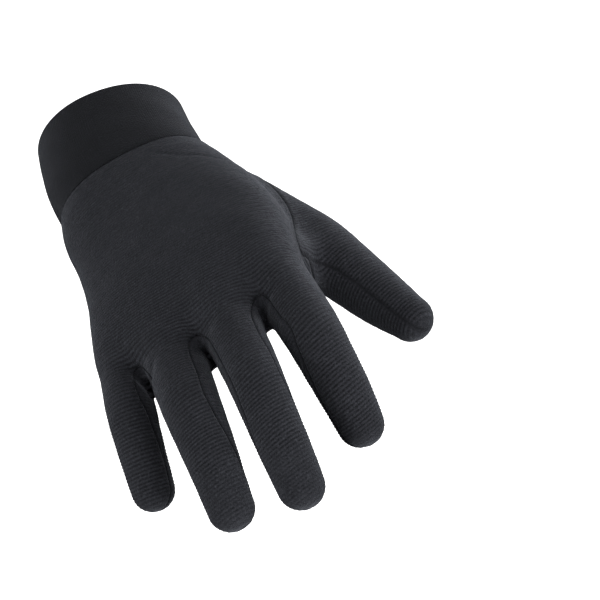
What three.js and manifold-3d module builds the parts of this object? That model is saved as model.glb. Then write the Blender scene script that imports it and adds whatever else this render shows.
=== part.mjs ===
// A thin knitted glove liner for the right hand, in the form it has when it is worn.
// Units are millimetres. +Z is the back of the hand, -Y the way the fingers point, +X the thumb's side.
// The origin is the centre of the cuff's open rim, and the wrist goes in along -Y.
import * as THREE from "three";
import { mergeVertices } from "three/addons/utils/BufferGeometryUtils.js";
import Module from "manifold-3d";

// Fabric
const FABRIC = 1.5; // the ribbed knit of the hand
const CUFF_FABRIC = 2.0; // the cuff's smooth knit, folded double
const SEAM_GAP = 0.3; // between two pieces that are sewn together
const SEAM_STEP = 0.8; // how far the hand's edge stands proud of the cuff

// The whole glove
const CUFF_LENGTH = 50;
const RIM_WIDTH = 67;
const RIM_DEPTH = 51;
const WRIST_WIDTH = 69;
const WRIST_DEPTH = 45.5;
const PALM_LENGTH = 112; // from the wrist seam to the webs between the fingers
const PALM_WIDTH = 92;
const PALM_DEPTH = 31;
const FINGER_LENGTH = 92; // knuckle to the middle of the fingertip, on the middle finger
const FINGER_WIDTH = 21.6;
const THUMB_LENGTH = 97; // from the wrist's side to the middle of the thumb's tip
const THUMB_WIDTH = 25;
const STRIP_SHARE = 0.7; // half the height of a strip sewn between two fingers, to a finger's radius
const STRIP_ROOT = 0.45; // how much of that is left at the knuckle
const STRIP_SHOULDER = 0.42; // how far it holds its height on the way to the next finger

// How finely the round forms are faceted
const BODY_SIDES = 28;
const FINGER_SIDES = 12;
const SEAM_STATION = 5.2; // between the stations of a seam along a finger

// The cuff, from its rim to the wrist seam. along is a share of CUFF_LENGTH. rim tells how much of
// the rim's form the section has, and the rest is the wrist's. fill widens or narrows it, and side
// moves it across, as a share of RIM_WIDTH.
const CUFF_SECTIONS = [
  { along: 0.0, rim: 1.0, fill: 1.0, side: 0.0 },
  { along: 0.3, rim: 0.68, fill: 1.015, side: -0.016 },
  { along: 0.64, rim: 0.34, fill: 1.02, side: -0.018 },
  { along: 1.0, rim: 0.0, fill: 1.0, side: 0.0 },
];
// How the two ends of the cuff slant: turned towards the little finger, and tipped towards the palm.
const RIM_SLANT = { turn: -3.2, tip: -2.3 };
const WRIST_SLANT = { turn: 9.9, tip: -5.9 };

// The palm and back beyond the wrist. along is a share of PALM_LENGTH. side and width are shares of
// PALM_WIDTH, and lift, above and below of PALM_DEPTH. tilt lowers the little finger's side and turn
// slants the section, in degrees. bow is how far its sides stay behind, as a share of PALM_LENGTH.
const PALM_SECTIONS = [
  { along: 0.13, side: 0.018, lift: 0.0, width: 0.84, above: 0.73, below: 0.74, tilt: 2, turn: 7, bow: 0.0 },
  { along: 0.31, side: 0.036, lift: 0.01, width: 0.925, above: 0.65, below: 0.67, tilt: 5, turn: 4, bow: 0.0 },
  { along: 0.52, side: 0.044, lift: 0.01, width: 0.985, above: 0.57, below: 0.57, tilt: 8, turn: 2, bow: 0.02 },
  { along: 0.73, side: 0.032, lift: -0.03, width: 1.0, above: 0.52, below: 0.48, tilt: 10, turn: 0, bow: 0.04 },
  { along: 0.88, side: 0.012, lift: -0.12, width: 0.94, above: 0.46, below: 0.43, tilt: 11, turn: -2, bow: 0.06 },
  { along: 0.96, side: 0.002, lift: -0.19, width: 0.85, above: 0.38, below: 0.36, tilt: 11, turn: -4, bow: 0.07 },
  { along: 1.0, side: 0.0, lift: -0.24, width: 0.77, above: 0.27, below: 0.25, tilt: 11, turn: -4, bow: 0.07 },
];
const SQUARENESS = 2.4; // of the sections of cuff and palm: 2 is an ellipse, more is squarer

// The fingers and the thumb. side is a share of PALM_WIDTH, along of PALM_LENGTH and lift of
// PALM_DEPTH. length is a share of FINGER_LENGTH and bones are shares of that. thick is a share of
// FINGER_WIDTH, at the root, the two joints and the tip. spread turns a finger towards the thumb,
// and bends are the slopes of its three bones, in degrees. The thumb has its own length and width.
const FINGERS = [
  { name: "index", side: 0.372, along: 0.768, lift: 0.11, length: 0.895, spread: 6.3, bends: [10, 38, 54],
    bones: [0.52, 0.304, 0.176], thick: [1.16, 1.06, 0.96, 0.86] },
  { name: "middle", side: 0.125, along: 0.829, lift: 0.035, length: 1.0, spread: -0.2, bends: [7.6, 31, 43],
    bones: [0.52, 0.313, 0.167], thick: [1.14, 0.99, 0.92, 0.86] },
  { name: "ring", side: -0.148, along: 0.812, lift: -0.22, length: 0.95, spread: -1.6, bends: [3.5, 25.6, 36.5],
    bones: [0.508, 0.315, 0.177], thick: [1.17, 1.06, 0.92, 0.85] },
  { name: "little", side: -0.347, along: 0.714, lift: -0.31, length: 0.75, spread: -8.1, bends: [8, 31.5, 43.5],
    bones: [0.507, 0.297, 0.196], thick: [0.94, 0.93, 0.84, 0.79] },
];
const FINGER_ROOT = { back: 0.6, thick: 0.5 }; // hidden in the palm, as shares of bone and root
const THUMB = {
  name: "thumb", side: 0.413, along: 0.14, lift: -0.365, length: 1.0, spread: 27.8, bends: [14.4, 22.8, 16.6],
  bones: [0.474, 0.351, 0.175], thick: [1.02, 1.14, 0.94, 0.75],
};
const THUMB_ROOT = { back: 0.3, thick: 0.72 };

// The web from the thumb to the index finger. thumb and index are places along the first bone of
// each, where more than 1 is past its end. thick is a share of THUMB_WIDTH, and sag is how far the
// middle stays behind, as a share of PALM_LENGTH.
const WEB_SECTIONS = [
  { thumb: 0.02, index: -0.95, thick: 0.84, sag: 0.0 },
  { thumb: 0.5, index: -0.45, thick: 0.86, sag: 0.0 },
  { thumb: 1.0, index: 0.0, thick: 0.72, sag: 0.01 },
  { thumb: 1.35, index: 0.2, thick: 0.5, sag: 0.02 },
  { thumb: 1.58, index: 0.3, thick: 0.24, sag: 0.03 },
];

// The plane of the thumb's set-in seam: where it stands, and how it turns towards the palm's end
// and leans over the palm, in degrees. side is a share of PALM_WIDTH and lift of PALM_DEPTH.
const THUMB_SEAM = { side: 0.56, lift: -0.3, turn: 2, lean: 9 };

const wasm = await Module();
wasm.setup();

function toSolid(geometry) {
  const bare = new THREE.BufferGeometry();
  bare.setAttribute("position", geometry.getAttribute("position"));
  bare.setIndex(geometry.getIndex());
  const merged = mergeVertices(bare, 1e-4);
  return new wasm.Manifold(
    new wasm.Mesh({
      numProp: 3,
      vertProperties: new Float32Array(merged.attributes.position.array),
      triVerts: new Uint32Array(merged.index.array),
    }),
  );
}

function toGeometry(solid) {
  const mesh = solid.getMesh();
  const geometry = new THREE.BufferGeometry();
  const places = new Float32Array(mesh.numVert * 3);
  for (let i = 0; i < mesh.numVert; i++)
    for (let k = 0; k < 3; k++) places[i * 3 + k] = mesh.vertProperties[i * mesh.numProp + k];
  geometry.setAttribute("position", new THREE.BufferAttribute(places, 3));
  geometry.setIndex(new THREE.BufferAttribute(new Uint32Array(mesh.triVerts), 1));
  return geometry;
}

// A closed skin through rings that have as many points each, with a fan from the middle at each end.
function loft(rings) {
  const sides = rings[0].length;
  const points = rings.flat();
  const faces = [];
  for (let r = 0; r + 1 < rings.length; r++)
    for (let i = 0; i < sides; i++) {
      const a = r * sides + i;
      const b = r * sides + ((i + 1) % sides);
      faces.push(a, b, b + sides, a, b + sides, a + sides);
    }
  [rings[0], rings[rings.length - 1]].forEach((ring, end) => {
    const middle = ring.reduce((sum, p) => sum.add(p), new THREE.Vector3()).divideScalar(sides);
    const centre = points.push(middle) - 1;
    const first = end * (rings.length - 1) * sides;
    for (let i = 0; i < sides; i++) {
      const edge = [first + i, first + ((i + 1) % sides)];
      faces.push(centre, ...(end ? edge : edge.reverse()));
    }
  });
  return closedSolid(points, faces);
}

// The solid inside a closed skin, whichever way round its faces were listed.
function closedSolid(points, faces) {
  const geometry = new THREE.BufferGeometry().setFromPoints(points);
  geometry.setIndex(faces);
  const solid = toSolid(geometry);
  if (solid.volume() > 0) return solid;
  const flipped = [];
  for (let i = 0; i < faces.length; i += 3) flipped.push(faces[i], faces[i + 2], faces[i + 1]);
  geometry.setIndex(flipped);
  return toSolid(geometry);
}

function roundedPower(value, squareness) {
  return Math.sign(value) * Math.abs(value) ** (2 / squareness);
}

// One section across the wrist or hand: a squared ellipse with its own height above and below.
function crossSection({ y, x, z, halfWidth, above, below, tilt = 0, turn = 0, tip = 0, bow = 0 }) {
  const lean = THREE.MathUtils.degToRad(tilt);
  const slant = new THREE.Vector2(Math.tan(THREE.MathUtils.degToRad(turn)), Math.tan(THREE.MathUtils.degToRad(tip)));
  const ring = [];
  for (let i = 0; i < BODY_SIDES; i++) {
    const angle = (i / BODY_SIDES) * 2 * Math.PI;
    const across = roundedPower(Math.cos(angle), SQUARENESS);
    const up = roundedPower(Math.sin(angle), SQUARENESS);
    const wide = across * halfWidth;
    const high = up * (up > 0 ? above : below);
    const place = new THREE.Vector3(wide * Math.cos(lean) - high * Math.sin(lean), 0, 0);
    place.z = wide * Math.sin(lean) + high * Math.cos(lean);
    place.y = y + bow * across * across + slant.x * place.x + slant.y * place.z;
    ring.push(place.add(new THREE.Vector3(x, 0, z)));
  }
  return ring;
}

// The hand's sections from the wrist seam on, drawn in by inset. An inner form starts behind the
// open edge and stops short of the webs.
function palmRings(inset) {
  const wrist = {
    y: -CUFF_LENGTH - SEAM_GAP + 2 * inset,
    x: 0,
    z: 0,
    halfWidth: WRIST_WIDTH / 2 + SEAM_STEP - inset,
    above: WRIST_DEPTH / 2 + SEAM_STEP - inset,
    below: WRIST_DEPTH / 2 + SEAM_STEP - inset,
    ...WRIST_SLANT,
  };
  const sections = PALM_SECTIONS.map((s) => ({
    y: -CUFF_LENGTH - s.along * (PALM_LENGTH - inset),
    x: s.side * PALM_WIDTH,
    z: s.lift * PALM_DEPTH,
    halfWidth: (s.width * PALM_WIDTH) / 2 - inset,
    above: s.above * PALM_DEPTH - inset,
    below: s.below * PALM_DEPTH - inset,
    tilt: s.tilt,
    turn: s.turn,
    bow: s.bow * PALM_LENGTH,
  }));
  return [wrist, ...sections].map(crossSection);
}

// The way a bone points that is turned by spread and slopes down, both in radians.
function boneWay(spread, slope) {
  const level = Math.cos(slope);
  return new THREE.Vector3(Math.sin(spread) * level, -Math.cos(spread) * level, -Math.sin(slope));
}

// The stations along a finger or the thumb: the place of its middle, its slope and its radius.
function fingerStations(finger) {
  const isThumb = finger === THUMB;
  const length = finger.length * (isThumb ? THUMB_LENGTH : FINGER_LENGTH);
  const width = isThumb ? THUMB_WIDTH : FINGER_WIDTH;
  const root = isThumb ? THUMB_ROOT : FINGER_ROOT;
  const spread = THREE.MathUtils.degToRad(finger.spread);
  const slopes = finger.bends.map(THREE.MathUtils.degToRad);
  const radii = finger.thick.map((t) => (t * width) / 2);
  const place = new THREE.Vector3(
    finger.side * PALM_WIDTH,
    -CUFF_LENGTH - finger.along * PALM_LENGTH,
    finger.lift * PALM_DEPTH,
  );
  const firstWay = boneWay(spread, slopes[0]);
  const behind = place.clone().addScaledVector(firstWay, -root.back * finger.bones[0] * length);
  const stations = [
    { middle: behind, slope: slopes[0], radius: root.thick * radii[0] },
    { middle: place.clone(), slope: slopes[0], radius: radii[0] },
  ];
  finger.bones.forEach((share, bone) => {
    const slope = slopes[bone];
    const next = slopes[Math.min(bone + 1, slopes.length - 1)];
    const way = boneWay(spread, slope);
    const start = place.clone();
    for (const part of bone < 2 ? [0.5, 1] : [1]) {
      place.copy(start).addScaledVector(way, share * length * part);
      const radius = THREE.MathUtils.lerp(radii[bone], radii[bone + 1], part);
      stations.push({ middle: place.clone(), slope: part < 1 ? slope : (slope + next) / 2, radius });
    }
  });
  return { stations, spread };
}

// A ring of points round middle, from two half axes that are at right angles.
function ovalRing(middle, halfAcross, halfUp) {
  const ring = [];
  for (let i = 0; i < FINGER_SIDES; i++) {
    const angle = ((i + 0.5) / FINGER_SIDES) * 2 * Math.PI;
    ring.push(middle.clone().addScaledVector(halfAcross, Math.cos(angle)).addScaledVector(halfUp, Math.sin(angle)));
  }
  return ring;
}

// A finger's sections with its rounded tip, grown by grow, or drawn in where that is less than 0.
function fingerRings(finger, grow) {
  const { stations, spread } = fingerStations(finger);
  const side = new THREE.Vector3(Math.cos(spread), Math.sin(spread), 0);
  const ringAt = ({ middle, slope }, radius, ahead) => {
    const way = boneWay(spread, slope);
    const up = new THREE.Vector3().crossVectors(side, way);
    const place = middle.clone().addScaledVector(way, ahead);
    return ovalRing(place, side.clone().multiplyScalar(radius), up.multiplyScalar(radius));
  };
  const rings = stations.map((s) => ringAt(s, s.radius + grow, 0));
  const tip = stations[stations.length - 1];
  const round = tip.radius + grow;
  for (const turn of [28, 54, 76]) {
    const angle = THREE.MathUtils.degToRad(turn);
    rings.push(ringAt(tip, round * Math.cos(angle), round * Math.sin(angle)));
  }
  return rings;
}

// A place along a finger's bones, where 0 to 1 is its first bone and 1 to 2 its second.
function placeAlong(finger, share) {
  const joints = fingerStations(finger).stations.filter((s, i) => i % 2 === 1).map((s) => s.middle);
  const bone = share < 1 ? 0 : 1;
  return joints[bone].clone().lerp(joints[bone + 1], share - bone);
}

// The web's sections, each a flat oval from the thumb's middle line to the index finger's.
function webRings(grow) {
  return WEB_SECTIONS.map((s, i) => {
    const fromThumb = placeAlong(THUMB, s.thumb);
    const fromIndex = placeAlong(FINGERS[0], s.index);
    const middle = fromThumb.clone().lerp(fromIndex, 0.5);
    const halfAcross = fromThumb.clone().sub(middle);
    const across = halfAcross.clone().normalize();
    const way = new THREE.Vector3(0, -1, 0);
    way.addScaledVector(across, -way.dot(across)).normalize();
    const up = new THREE.Vector3().crossVectors(across, way);
    const thick = (s.thick * THUMB_WIDTH) / 2 + grow;
    const ring = ovalRing(middle, halfAcross, up.multiplyScalar(thick));
    for (const p of ring) {
      const share = p.clone().sub(middle).dot(across) / halfAcross.length();
      p.y += s.sag * PALM_LENGTH * (1 - share * share);
      if (i + 1 === WEB_SECTIONS.length) p.addScaledVector(way, grow);
    }
    return ring;
  });
}

// The whole hand without its cuff, drawn in by inset.
function handForm(inset) {
  const limbs = [...FINGERS, THUMB].map((finger) => loft(fingerRings(finger, -inset)));
  return [loft(webRings(-inset)), ...limbs].reduce((form, limb) => form.add(limb), loft(palmRings(inset)));
}

// A finger's middle line from the wrist to beyond its tip, for the seams along it.
function seamLine(finger) {
  const { stations } = fingerStations(finger);
  const [knuckle, ...line] = stations.slice(1);
  const [before, tip] = line.slice(-2);
  const way = tip.middle.clone().sub(before.middle).normalize();
  const wrist = new THREE.Vector3(0.8 * knuckle.middle.x, -CUFF_LENGTH, 0);
  const narrow = STRIP_ROOT * knuckle.radius;
  return [
    { middle: wrist, radius: narrow },
    { middle: knuckle.middle, radius: narrow },
    ...line,
    { middle: tip.middle.clone().addScaledVector(way, 4 * FINGER_WIDTH), radius: 0 },
  ];
}

// Where a seam line passes y: its place, and half the height of the strip that is sewn in there.
// The strip narrows to a point at the middle of the fingertip.
function seamAt(line, y) {
  let i = 0;
  while (i + 2 < line.length && y < line[i + 1].middle.y) i++;
  const [a, b] = [line[i], line[i + 1]];
  const share = (y - a.middle.y) / (b.middle.y - a.middle.y);
  const place = a.middle.clone().lerp(b.middle, share);
  const slope = (b.middle.z - a.middle.z) / (b.middle.y - a.middle.y);
  const radius = THREE.MathUtils.lerp(a.radius, b.radius, THREE.MathUtils.clamp(share, 0, 1));
  const tip = line[line.length - 2];
  const taper = THREE.MathUtils.smoothstep(y - tip.middle.y, 0, 1.3 * FINGER_WIDTH);
  const half = STRIP_SHARE * radius * taper * Math.sqrt(1 + slope * slope);
  return { x: place.x, z: place.z, half: Math.max(half, 0.05) };
}

const SEAM_LINES = FINGERS.map(seamLine);
const SEAM_REACH = CUFF_LENGTH + PALM_LENGTH + FINGER_LENGTH;
const SEAM_YS = [];
for (let y = 2 * FABRIC - 0.8 * CUFF_LENGTH; y > -SEAM_REACH; y -= SEAM_STATION) SEAM_YS.push(y);

// A place between two fingers' seams. Each finger's half height holds to its shoulder, then blends.
function seamBetween(own, other, share) {
  const blend = THREE.MathUtils.clamp((share - STRIP_SHOULDER) / (1 - 2 * STRIP_SHOULDER), 0, 1);
  return {
    x: THREE.MathUtils.lerp(own.x, other.x, share),
    z: THREE.MathUtils.lerp(own.z, other.z, share),
    half: THREE.MathUtils.lerp(own.half, other.half, blend),
  };
}

// The height of the seam between back and palm on the thumb's side, where it dips to the thumb.
function thumbSideHeight(index, y) {
  const [wrist, root] = [-CUFF_LENGTH, placeAlong(THUMB, 0).y];
  const [web, knuckle] = [placeAlong(THUMB, 1.4).y, SEAM_LINES[0][1].middle.y - FINGER_WIDTH];
  const dip = Math.min(
    THREE.MathUtils.smoothstep(-y, -wrist, -root),
    1 - THREE.MathUtils.smoothstep(-y, -web, -knuckle),
  );
  return THREE.MathUtils.lerp(index.z, THUMB_SEAM.lift * PALM_DEPTH, dip);
}

// Everything above the back's seams, or below the palm's where up is -1, kept away by gap.
function panelSpace(up, gap) {
  const far = 2 * (PALM_WIDTH + THUMB_LENGTH);
  const rings = SEAM_YS.map((y) => {
    const at = SEAM_LINES.map((line) => seamAt(line, y));
    const last = at[at.length - 1];
    const edge = (x, z, half) => new THREE.Vector3(x, y, z + up * (half + gap));
    const thumbSide = { x: THUMB_SEAM.side * PALM_WIDTH, z: thumbSideHeight(at[0], y) };
    const ring = [edge(far, thumbSide.z, 0), edge(thumbSide.x, thumbSide.z, 0), edge(at[0].x + SEAM_GAP, at[0].z, 0)];
    for (let i = 0; i + 1 < at.length; i++)
      for (const share of [0, STRIP_SHOULDER, 1 - STRIP_SHOULDER]) {
        const place = seamBetween(at[i], at[i + 1], share);
        ring.push(edge(place.x, place.z, place.half));
      }
    ring.push(edge(last.x, last.z, last.half), edge(last.x - SEAM_GAP, last.z, 0), edge(-far, last.z, 0));
    return [...ring, new THREE.Vector3(-far, y, up * far), new THREE.Vector3(far, y, up * far)];
  });
  return loft(rings);
}

// The space of the strip between two fingers, from one middle line to the other.
function stripSpace(first, second) {
  const far = PALM_WIDTH;
  const rings = SEAM_YS.map((y) => {
    const [a, b] = [seamAt(first, y).x, seamAt(second, y).x];
    return [[a, far], [b, far], [b, -far], [a, -far]].map(([x, z]) => new THREE.Vector3(x, y, z));
  });
  return [panelSpace(1, -SEAM_GAP / 2), panelSpace(-1, -SEAM_GAP / 2)].reduce(
    (space, panel) => space.subtract(panel),
    loft(rings),
  );
}

// The space on the thumb's side of its set-in seam, moved back towards the palm by back.
function thumbSpace(back) {
  const [reach, length] = [2 * THUMB_LENGTH, 1.5 * THUMB_LENGTH];
  const block = new THREE.BoxGeometry(reach, length, reach).translate(reach / 2 - back, 0, 0);
  block.rotateY(THREE.MathUtils.degToRad(THUMB_SEAM.lean));
  block.rotateZ(THREE.MathUtils.degToRad(THUMB_SEAM.turn));
  const alongThumb = placeAlong(THUMB, 0).lerp(placeAlong(THUMB, 2), 0.5);
  block.translate(THUMB_SEAM.side * PALM_WIDTH, alongThumb.y, THUMB_SEAM.lift * PALM_DEPTH);
  return toSolid(block);
}

// The cuff: a doubled tube, folded round at its rim.
function cuffForm() {
  const ring = (s, inset, ahead = 0) => {
    const mix = (wrist, rim) => THREE.MathUtils.lerp(wrist, rim, s.rim);
    const depth = (s.fill * mix(WRIST_DEPTH, RIM_DEPTH)) / 2 - inset;
    return crossSection({
      y: -s.along * CUFF_LENGTH - ahead,
      x: s.side * RIM_WIDTH,
      z: 0,
      halfWidth: (s.fill * mix(WRIST_WIDTH, RIM_WIDTH)) / 2 - inset,
      above: depth,
      below: depth,
      turn: mix(WRIST_SLANT.turn, RIM_SLANT.turn),
      tip: mix(WRIST_SLANT.tip, RIM_SLANT.tip),
    });
  };
  const fold = CUFF_FABRIC / 2;
  const [first, ...rest] = CUFF_SECTIONS;
  const last = rest.length - 1;
  const outer = [ring(first, 0.85 * fold), ring(first, 0, fold), ...rest.map((s) => ring(s, 0))];
  const inner = [
    ring(first, CUFF_FABRIC - 0.85 * fold, -2 * fold),
    ring(first, CUFF_FABRIC - 0.85 * fold),
    ring(first, CUFF_FABRIC, fold),
    ...rest.map((s, i) => ring(s, CUFF_FABRIC, i === last ? 2 * fold : 0)),
  ];
  return loft(outer).subtract(loft(inner));
}

const shell = handForm(0).subtract(handForm(FABRIC));
const thumb = shell.intersect(thumbSpace(0));
const hand = shell.subtract(thumbSpace(SEAM_GAP));

const ribbedKnit = new THREE.MeshStandardMaterial({ color: 0x2b2c30, roughness: 0.92, metalness: 0 });
const smoothKnit = new THREE.MeshStandardMaterial({ color: 0x242529, roughness: 0.88, metalness: 0 });

const glove = new THREE.Group();
function addPiece(name, solid, material) {
  const piece = new THREE.Mesh(toGeometry(solid), material.clone());
  piece.name = name;
  glove.add(piece);
}

addPiece("cuff", cuffForm(), smoothKnit);
addPiece("back_panel", hand.intersect(panelSpace(1, SEAM_GAP / 2)), ribbedKnit);
addPiece("palm_panel", hand.intersect(panelSpace(-1, SEAM_GAP / 2)), ribbedKnit);
addPiece("thumb", thumb, ribbedKnit);
for (let i = 0; i + 1 < FINGERS.length; i++) {
  const strip = hand.intersect(stripSpace(SEAM_LINES[i], SEAM_LINES[i + 1]));
  addPiece(`side_strip_${FINGERS[i].name}_${FINGERS[i + 1].name}`, strip, ribbedKnit);
}

export default glove;
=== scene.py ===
"""Looks of a thin knitted glove liner for the right hand, in its worn form: a ribbed hand with a
set-in thumb, strips sewn between the fingers, sewn seams and a smooth doubled cuff."""
import itertools
import math

import bpy
import numpy as np
from bpy.props import FloatProperty, FloatVectorProperty, IntProperty, PointerProperty
from mathutils import Matrix


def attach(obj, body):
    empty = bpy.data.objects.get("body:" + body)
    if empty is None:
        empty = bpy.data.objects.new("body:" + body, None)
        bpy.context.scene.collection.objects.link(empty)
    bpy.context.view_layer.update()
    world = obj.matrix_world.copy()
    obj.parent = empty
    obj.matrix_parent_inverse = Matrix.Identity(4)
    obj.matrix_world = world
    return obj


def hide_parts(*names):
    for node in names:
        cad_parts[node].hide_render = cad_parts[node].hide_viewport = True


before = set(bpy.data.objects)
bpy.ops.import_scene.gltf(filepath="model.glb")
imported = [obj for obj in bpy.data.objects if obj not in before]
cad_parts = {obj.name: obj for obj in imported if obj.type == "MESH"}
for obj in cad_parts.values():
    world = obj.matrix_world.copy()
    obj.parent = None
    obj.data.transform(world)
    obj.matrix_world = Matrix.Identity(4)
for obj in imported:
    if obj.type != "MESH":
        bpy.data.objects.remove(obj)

bl_info = {
    "name": "Knitted Glove Liner",
    "version": (1, 0, 0),
    "blender": (4, 5, 0),
    "location": "3D View > Sidebar > Glove",
    "description": "Makes a worn, ribbed glove liner with sewn seams round its packed solids",
    "category": "Add Mesh",
}

# The form of the hand and cuff in millimetres, as the solids have it but drawn in a little along the
# little finger's side. +Z is the back of the hand, -Y the way the fingers point, +X the thumb's
# side, and the cuff's rim is at the origin.
FABRIC = 1.5
CUFF_FABRIC = 2.0
SEAM_STEP = 0.8
CUFF_LENGTH = 50.0
RIM_WIDTH = 67.0
RIM_DEPTH = 51.0
WRIST_WIDTH = 69.0
WRIST_DEPTH = 45.5
PALM_LENGTH = 112.0
PALM_WIDTH = 92.0
PALM_DEPTH = 31.0
FINGER_LENGTH = 92.0
FINGER_WIDTH = 21.6
THUMB_LENGTH = 97.0
THUMB_WIDTH = 25.0
SQUARENESS = 2.4
WRIST_STATION = CUFF_LENGTH + 0.35

# along, rim, fill, side
CUFF_SECTIONS = [(0.0, 1.0, 1.0, 0.0), (0.3, 0.68, 1.015, -0.016), (0.64, 0.34, 1.02, -0.018),
                 (1.0, 0.0, 1.0, 0.0)]
# turn, tip
RIM_SLANT = (-3.2, -2.3)
WRIST_SLANT = (9.9, -5.9)
RIM_ROUNDING = 0.28  # how much less square the cuff is at its rim than at the wrist
CUFF_WALES = 210  # fine columns of loops round the cuff
CUFF_AROUND, CUFF_OUTSIDE, CUFF_INSIDE = 220, 64, 40  # points round the cuff, and its rings

# along, side, lift, width, above, below, tilt, turn, bow
PALM_SECTIONS = [
    (0.13, 0.018, 0.0, 0.84, 0.73, 0.74, 2, 7, 0.0),
    (0.31, 0.052, 0.01, 0.893, 0.65, 0.67, 5, 4, 0.0),
    (0.52, 0.064, 0.01, 0.945, 0.57, 0.57, 8, 2, 0.02),
    (0.73, 0.047, -0.03, 0.97, 0.52, 0.48, 10, 0, 0.04),
    (0.88, 0.017, -0.12, 0.929, 0.46, 0.43, 11, -2, 0.06),
    (0.96, 0.002, -0.19, 0.85, 0.38, 0.36, 11, -4, 0.07),
    (1.0, 0.0, -0.24, 0.77, 0.27, 0.25, 11, -4, 0.07),
]

# side, along, lift, length, spread, bends, bones, thick
FINGERS = {
    "index": (0.372, 0.768, 0.11, 0.895, 6.3, (10, 38, 54),
              (0.52, 0.304, 0.176), (1.16, 1.06, 0.96, 0.86)),
    "middle": (0.125, 0.829, 0.035, 1.0, -0.2, (7.6, 31, 43),
               (0.52, 0.313, 0.167), (1.14, 0.99, 0.92, 0.86)),
    "ring": (-0.148, 0.812, -0.22, 0.95, -1.6, (3.5, 25.6, 36.5),
             (0.508, 0.315, 0.177), (1.17, 1.06, 0.92, 0.85)),
    "little": (-0.347, 0.714, -0.31, 0.75, -8.1, (8, 31.5, 43.5),
               (0.507, 0.297, 0.196), (0.82, 0.91, 0.84, 0.79)),
}
THUMB = (0.413, 0.14, -0.365, 1.0, 27.8, (14.4, 22.8, 16.6), (0.474, 0.351, 0.175), (1.02, 1.14, 0.94, 0.75))
# How far back each hidden root starts, as a share of the first bone, and how thick it is there.
FINGER_ROOT = (0.6, 0.5)
THUMB_ROOT = (0.3, 0.72)
STRIP_SHARE = 0.7  # half the height of a strip between two fingers, to a finger's radius
STRIP_ROOT = 0.45  # how much of that is left at the knuckle
# thumb, index, thick, sag, set back
WEB_SECTIONS = [(0.02, -0.95, 0.84, 0.0, 0.0), (0.5, -0.45, 0.86, 0.0, 0.0), (1.0, 0.0, 0.64, 0.01, 0.015),
                (1.35, 0.2, 0.36, 0.02, 0.075), (1.58, 0.3, 0.2, 0.03, 0.095)]
THUMB_SEAM = (0.56, -0.3, 2.0, 9.0)  # side, lift, turn, lean
# How far the set-in seam strays from its plane on the back of the hand, at places along the hand.
THUMB_SEAM_BEND = [(60, 0.0), (72, 0.4), (82, 1.4), (92, 2.0), (100, 1.6), (110, -0.4), (118, -2.2),
                   (126, -3.3), (140, -3.6)]

# The seam that closes the thumb, from its set-in seam to its tip.
THUMB_CLOSING = [(50.6, -126.4, -8.6), (53.2, -123.3, -12.7), (56.4, -122.4, -16.5), (59.6, -124.3, -18.7),
                 (62.4, -127.7, -20.4), (67.0, -135.4, -24.7), (70.7, -142.2, -28.7), (74.4, -148.9, -32.6),
                 (78.9, -155.4, -36.7), (81.3, -156.5, -39.5), (84.9, -155.7, -42.2)]

# How far the ribs run askew over each finger, from the index to the little one, and which way they
# follow each other on the thumb.
RIB_SKEW = (0.21, 0.24, 0.2, 0.05)
THUMB_RIBS = (0.33, -0.93, -0.14)

# Creases and soft ridges of the worn cloth: points, depth and width. A ridge's depth is negative.
FOLDS = [
    ([(10.9, -57.2, 22.8), (13.3, -61.4, 22.5), (17.8, -63.8, 21.9),
      (23.2, -67.5, 20.8), (29.1, -68.4, 19.1), (33.3, -71.1, 17.5), (36.7, -73.0, 15.7)], 0.5, 0.8),
    ([(16.0, -57.5, 22.3), (22.0, -58.6, 20.8), (28.0, -58.6, 18.4), (34.5, -59.0, 14.9)], -0.35, 3.2),
    ([(50.8, -118.0, 0.5), (49.9, -126.0, 0.6), (49.3, -130.2, -0.4), (49.2, -133.6, -3.2),
      (49.5, -136.1, -6.8)], 0.8, 2.0),
    ([(25.5, -158.1, -6.1), (24.4, -157.0, -2.1), (22.5, -158.0, 4.0), (20.2, -153.5, 8.5)], 1.5, 2.2),
    ([(25.2, -159.4, -2.9), (27.7, -162.3, 4.1), (30.9, -160.3, 9.7)], 0.9, 2.0),
    ([(-0.9, -158.1, -8.2), (-1.9, -159.5, 1.2), (-3.6, -154.0, 6.5)], 1.6, 2.2),
    ([(-0.4, -160.4, -8.3), (2.7, -164.6, 2.6), (5.6, -162.1, 7.5)], 0.9, 2.0),
    ([(-27.0, -163.8, -13.0), (-28.8, -159.2, -6.6), (-31.5, -153.0, -2.0)], 1.6, 2.2),
    ([(-26.5, -165.0, -12.0), (-24.2, -166.0, -3.2), (-21.7, -161.9, 2.2)], 0.9, 2.0),
]


def smoothstep(value, low, high):
    share = np.clip((value - low) / (high - low), 0, 1)
    return share * share * (3 - 2 * share)


def blended(a, b, reach):
    """The nearer of two distances, rounded off where they are within reach of each other."""
    overlap = np.maximum(reach - np.abs(a - b), 0) / reach
    return np.minimum(a, b) - overlap * overlap * reach / 4


class Table:
    """Rows of numbers over evenly spaced places, read between them in a straight line."""

    def __init__(self, first, last, rows):
        self.first, self.step, self.rows = first, (last - first) / (len(rows) - 1), rows

    def __call__(self, place):
        at = np.clip((place - self.first) / self.step, 0, len(self.rows) - 1.001)
        row = at.astype(int)
        share = (at - row)[:, None]
        return (self.rows[row] * (1 - share) + self.rows[row + 1] * share).T


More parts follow.
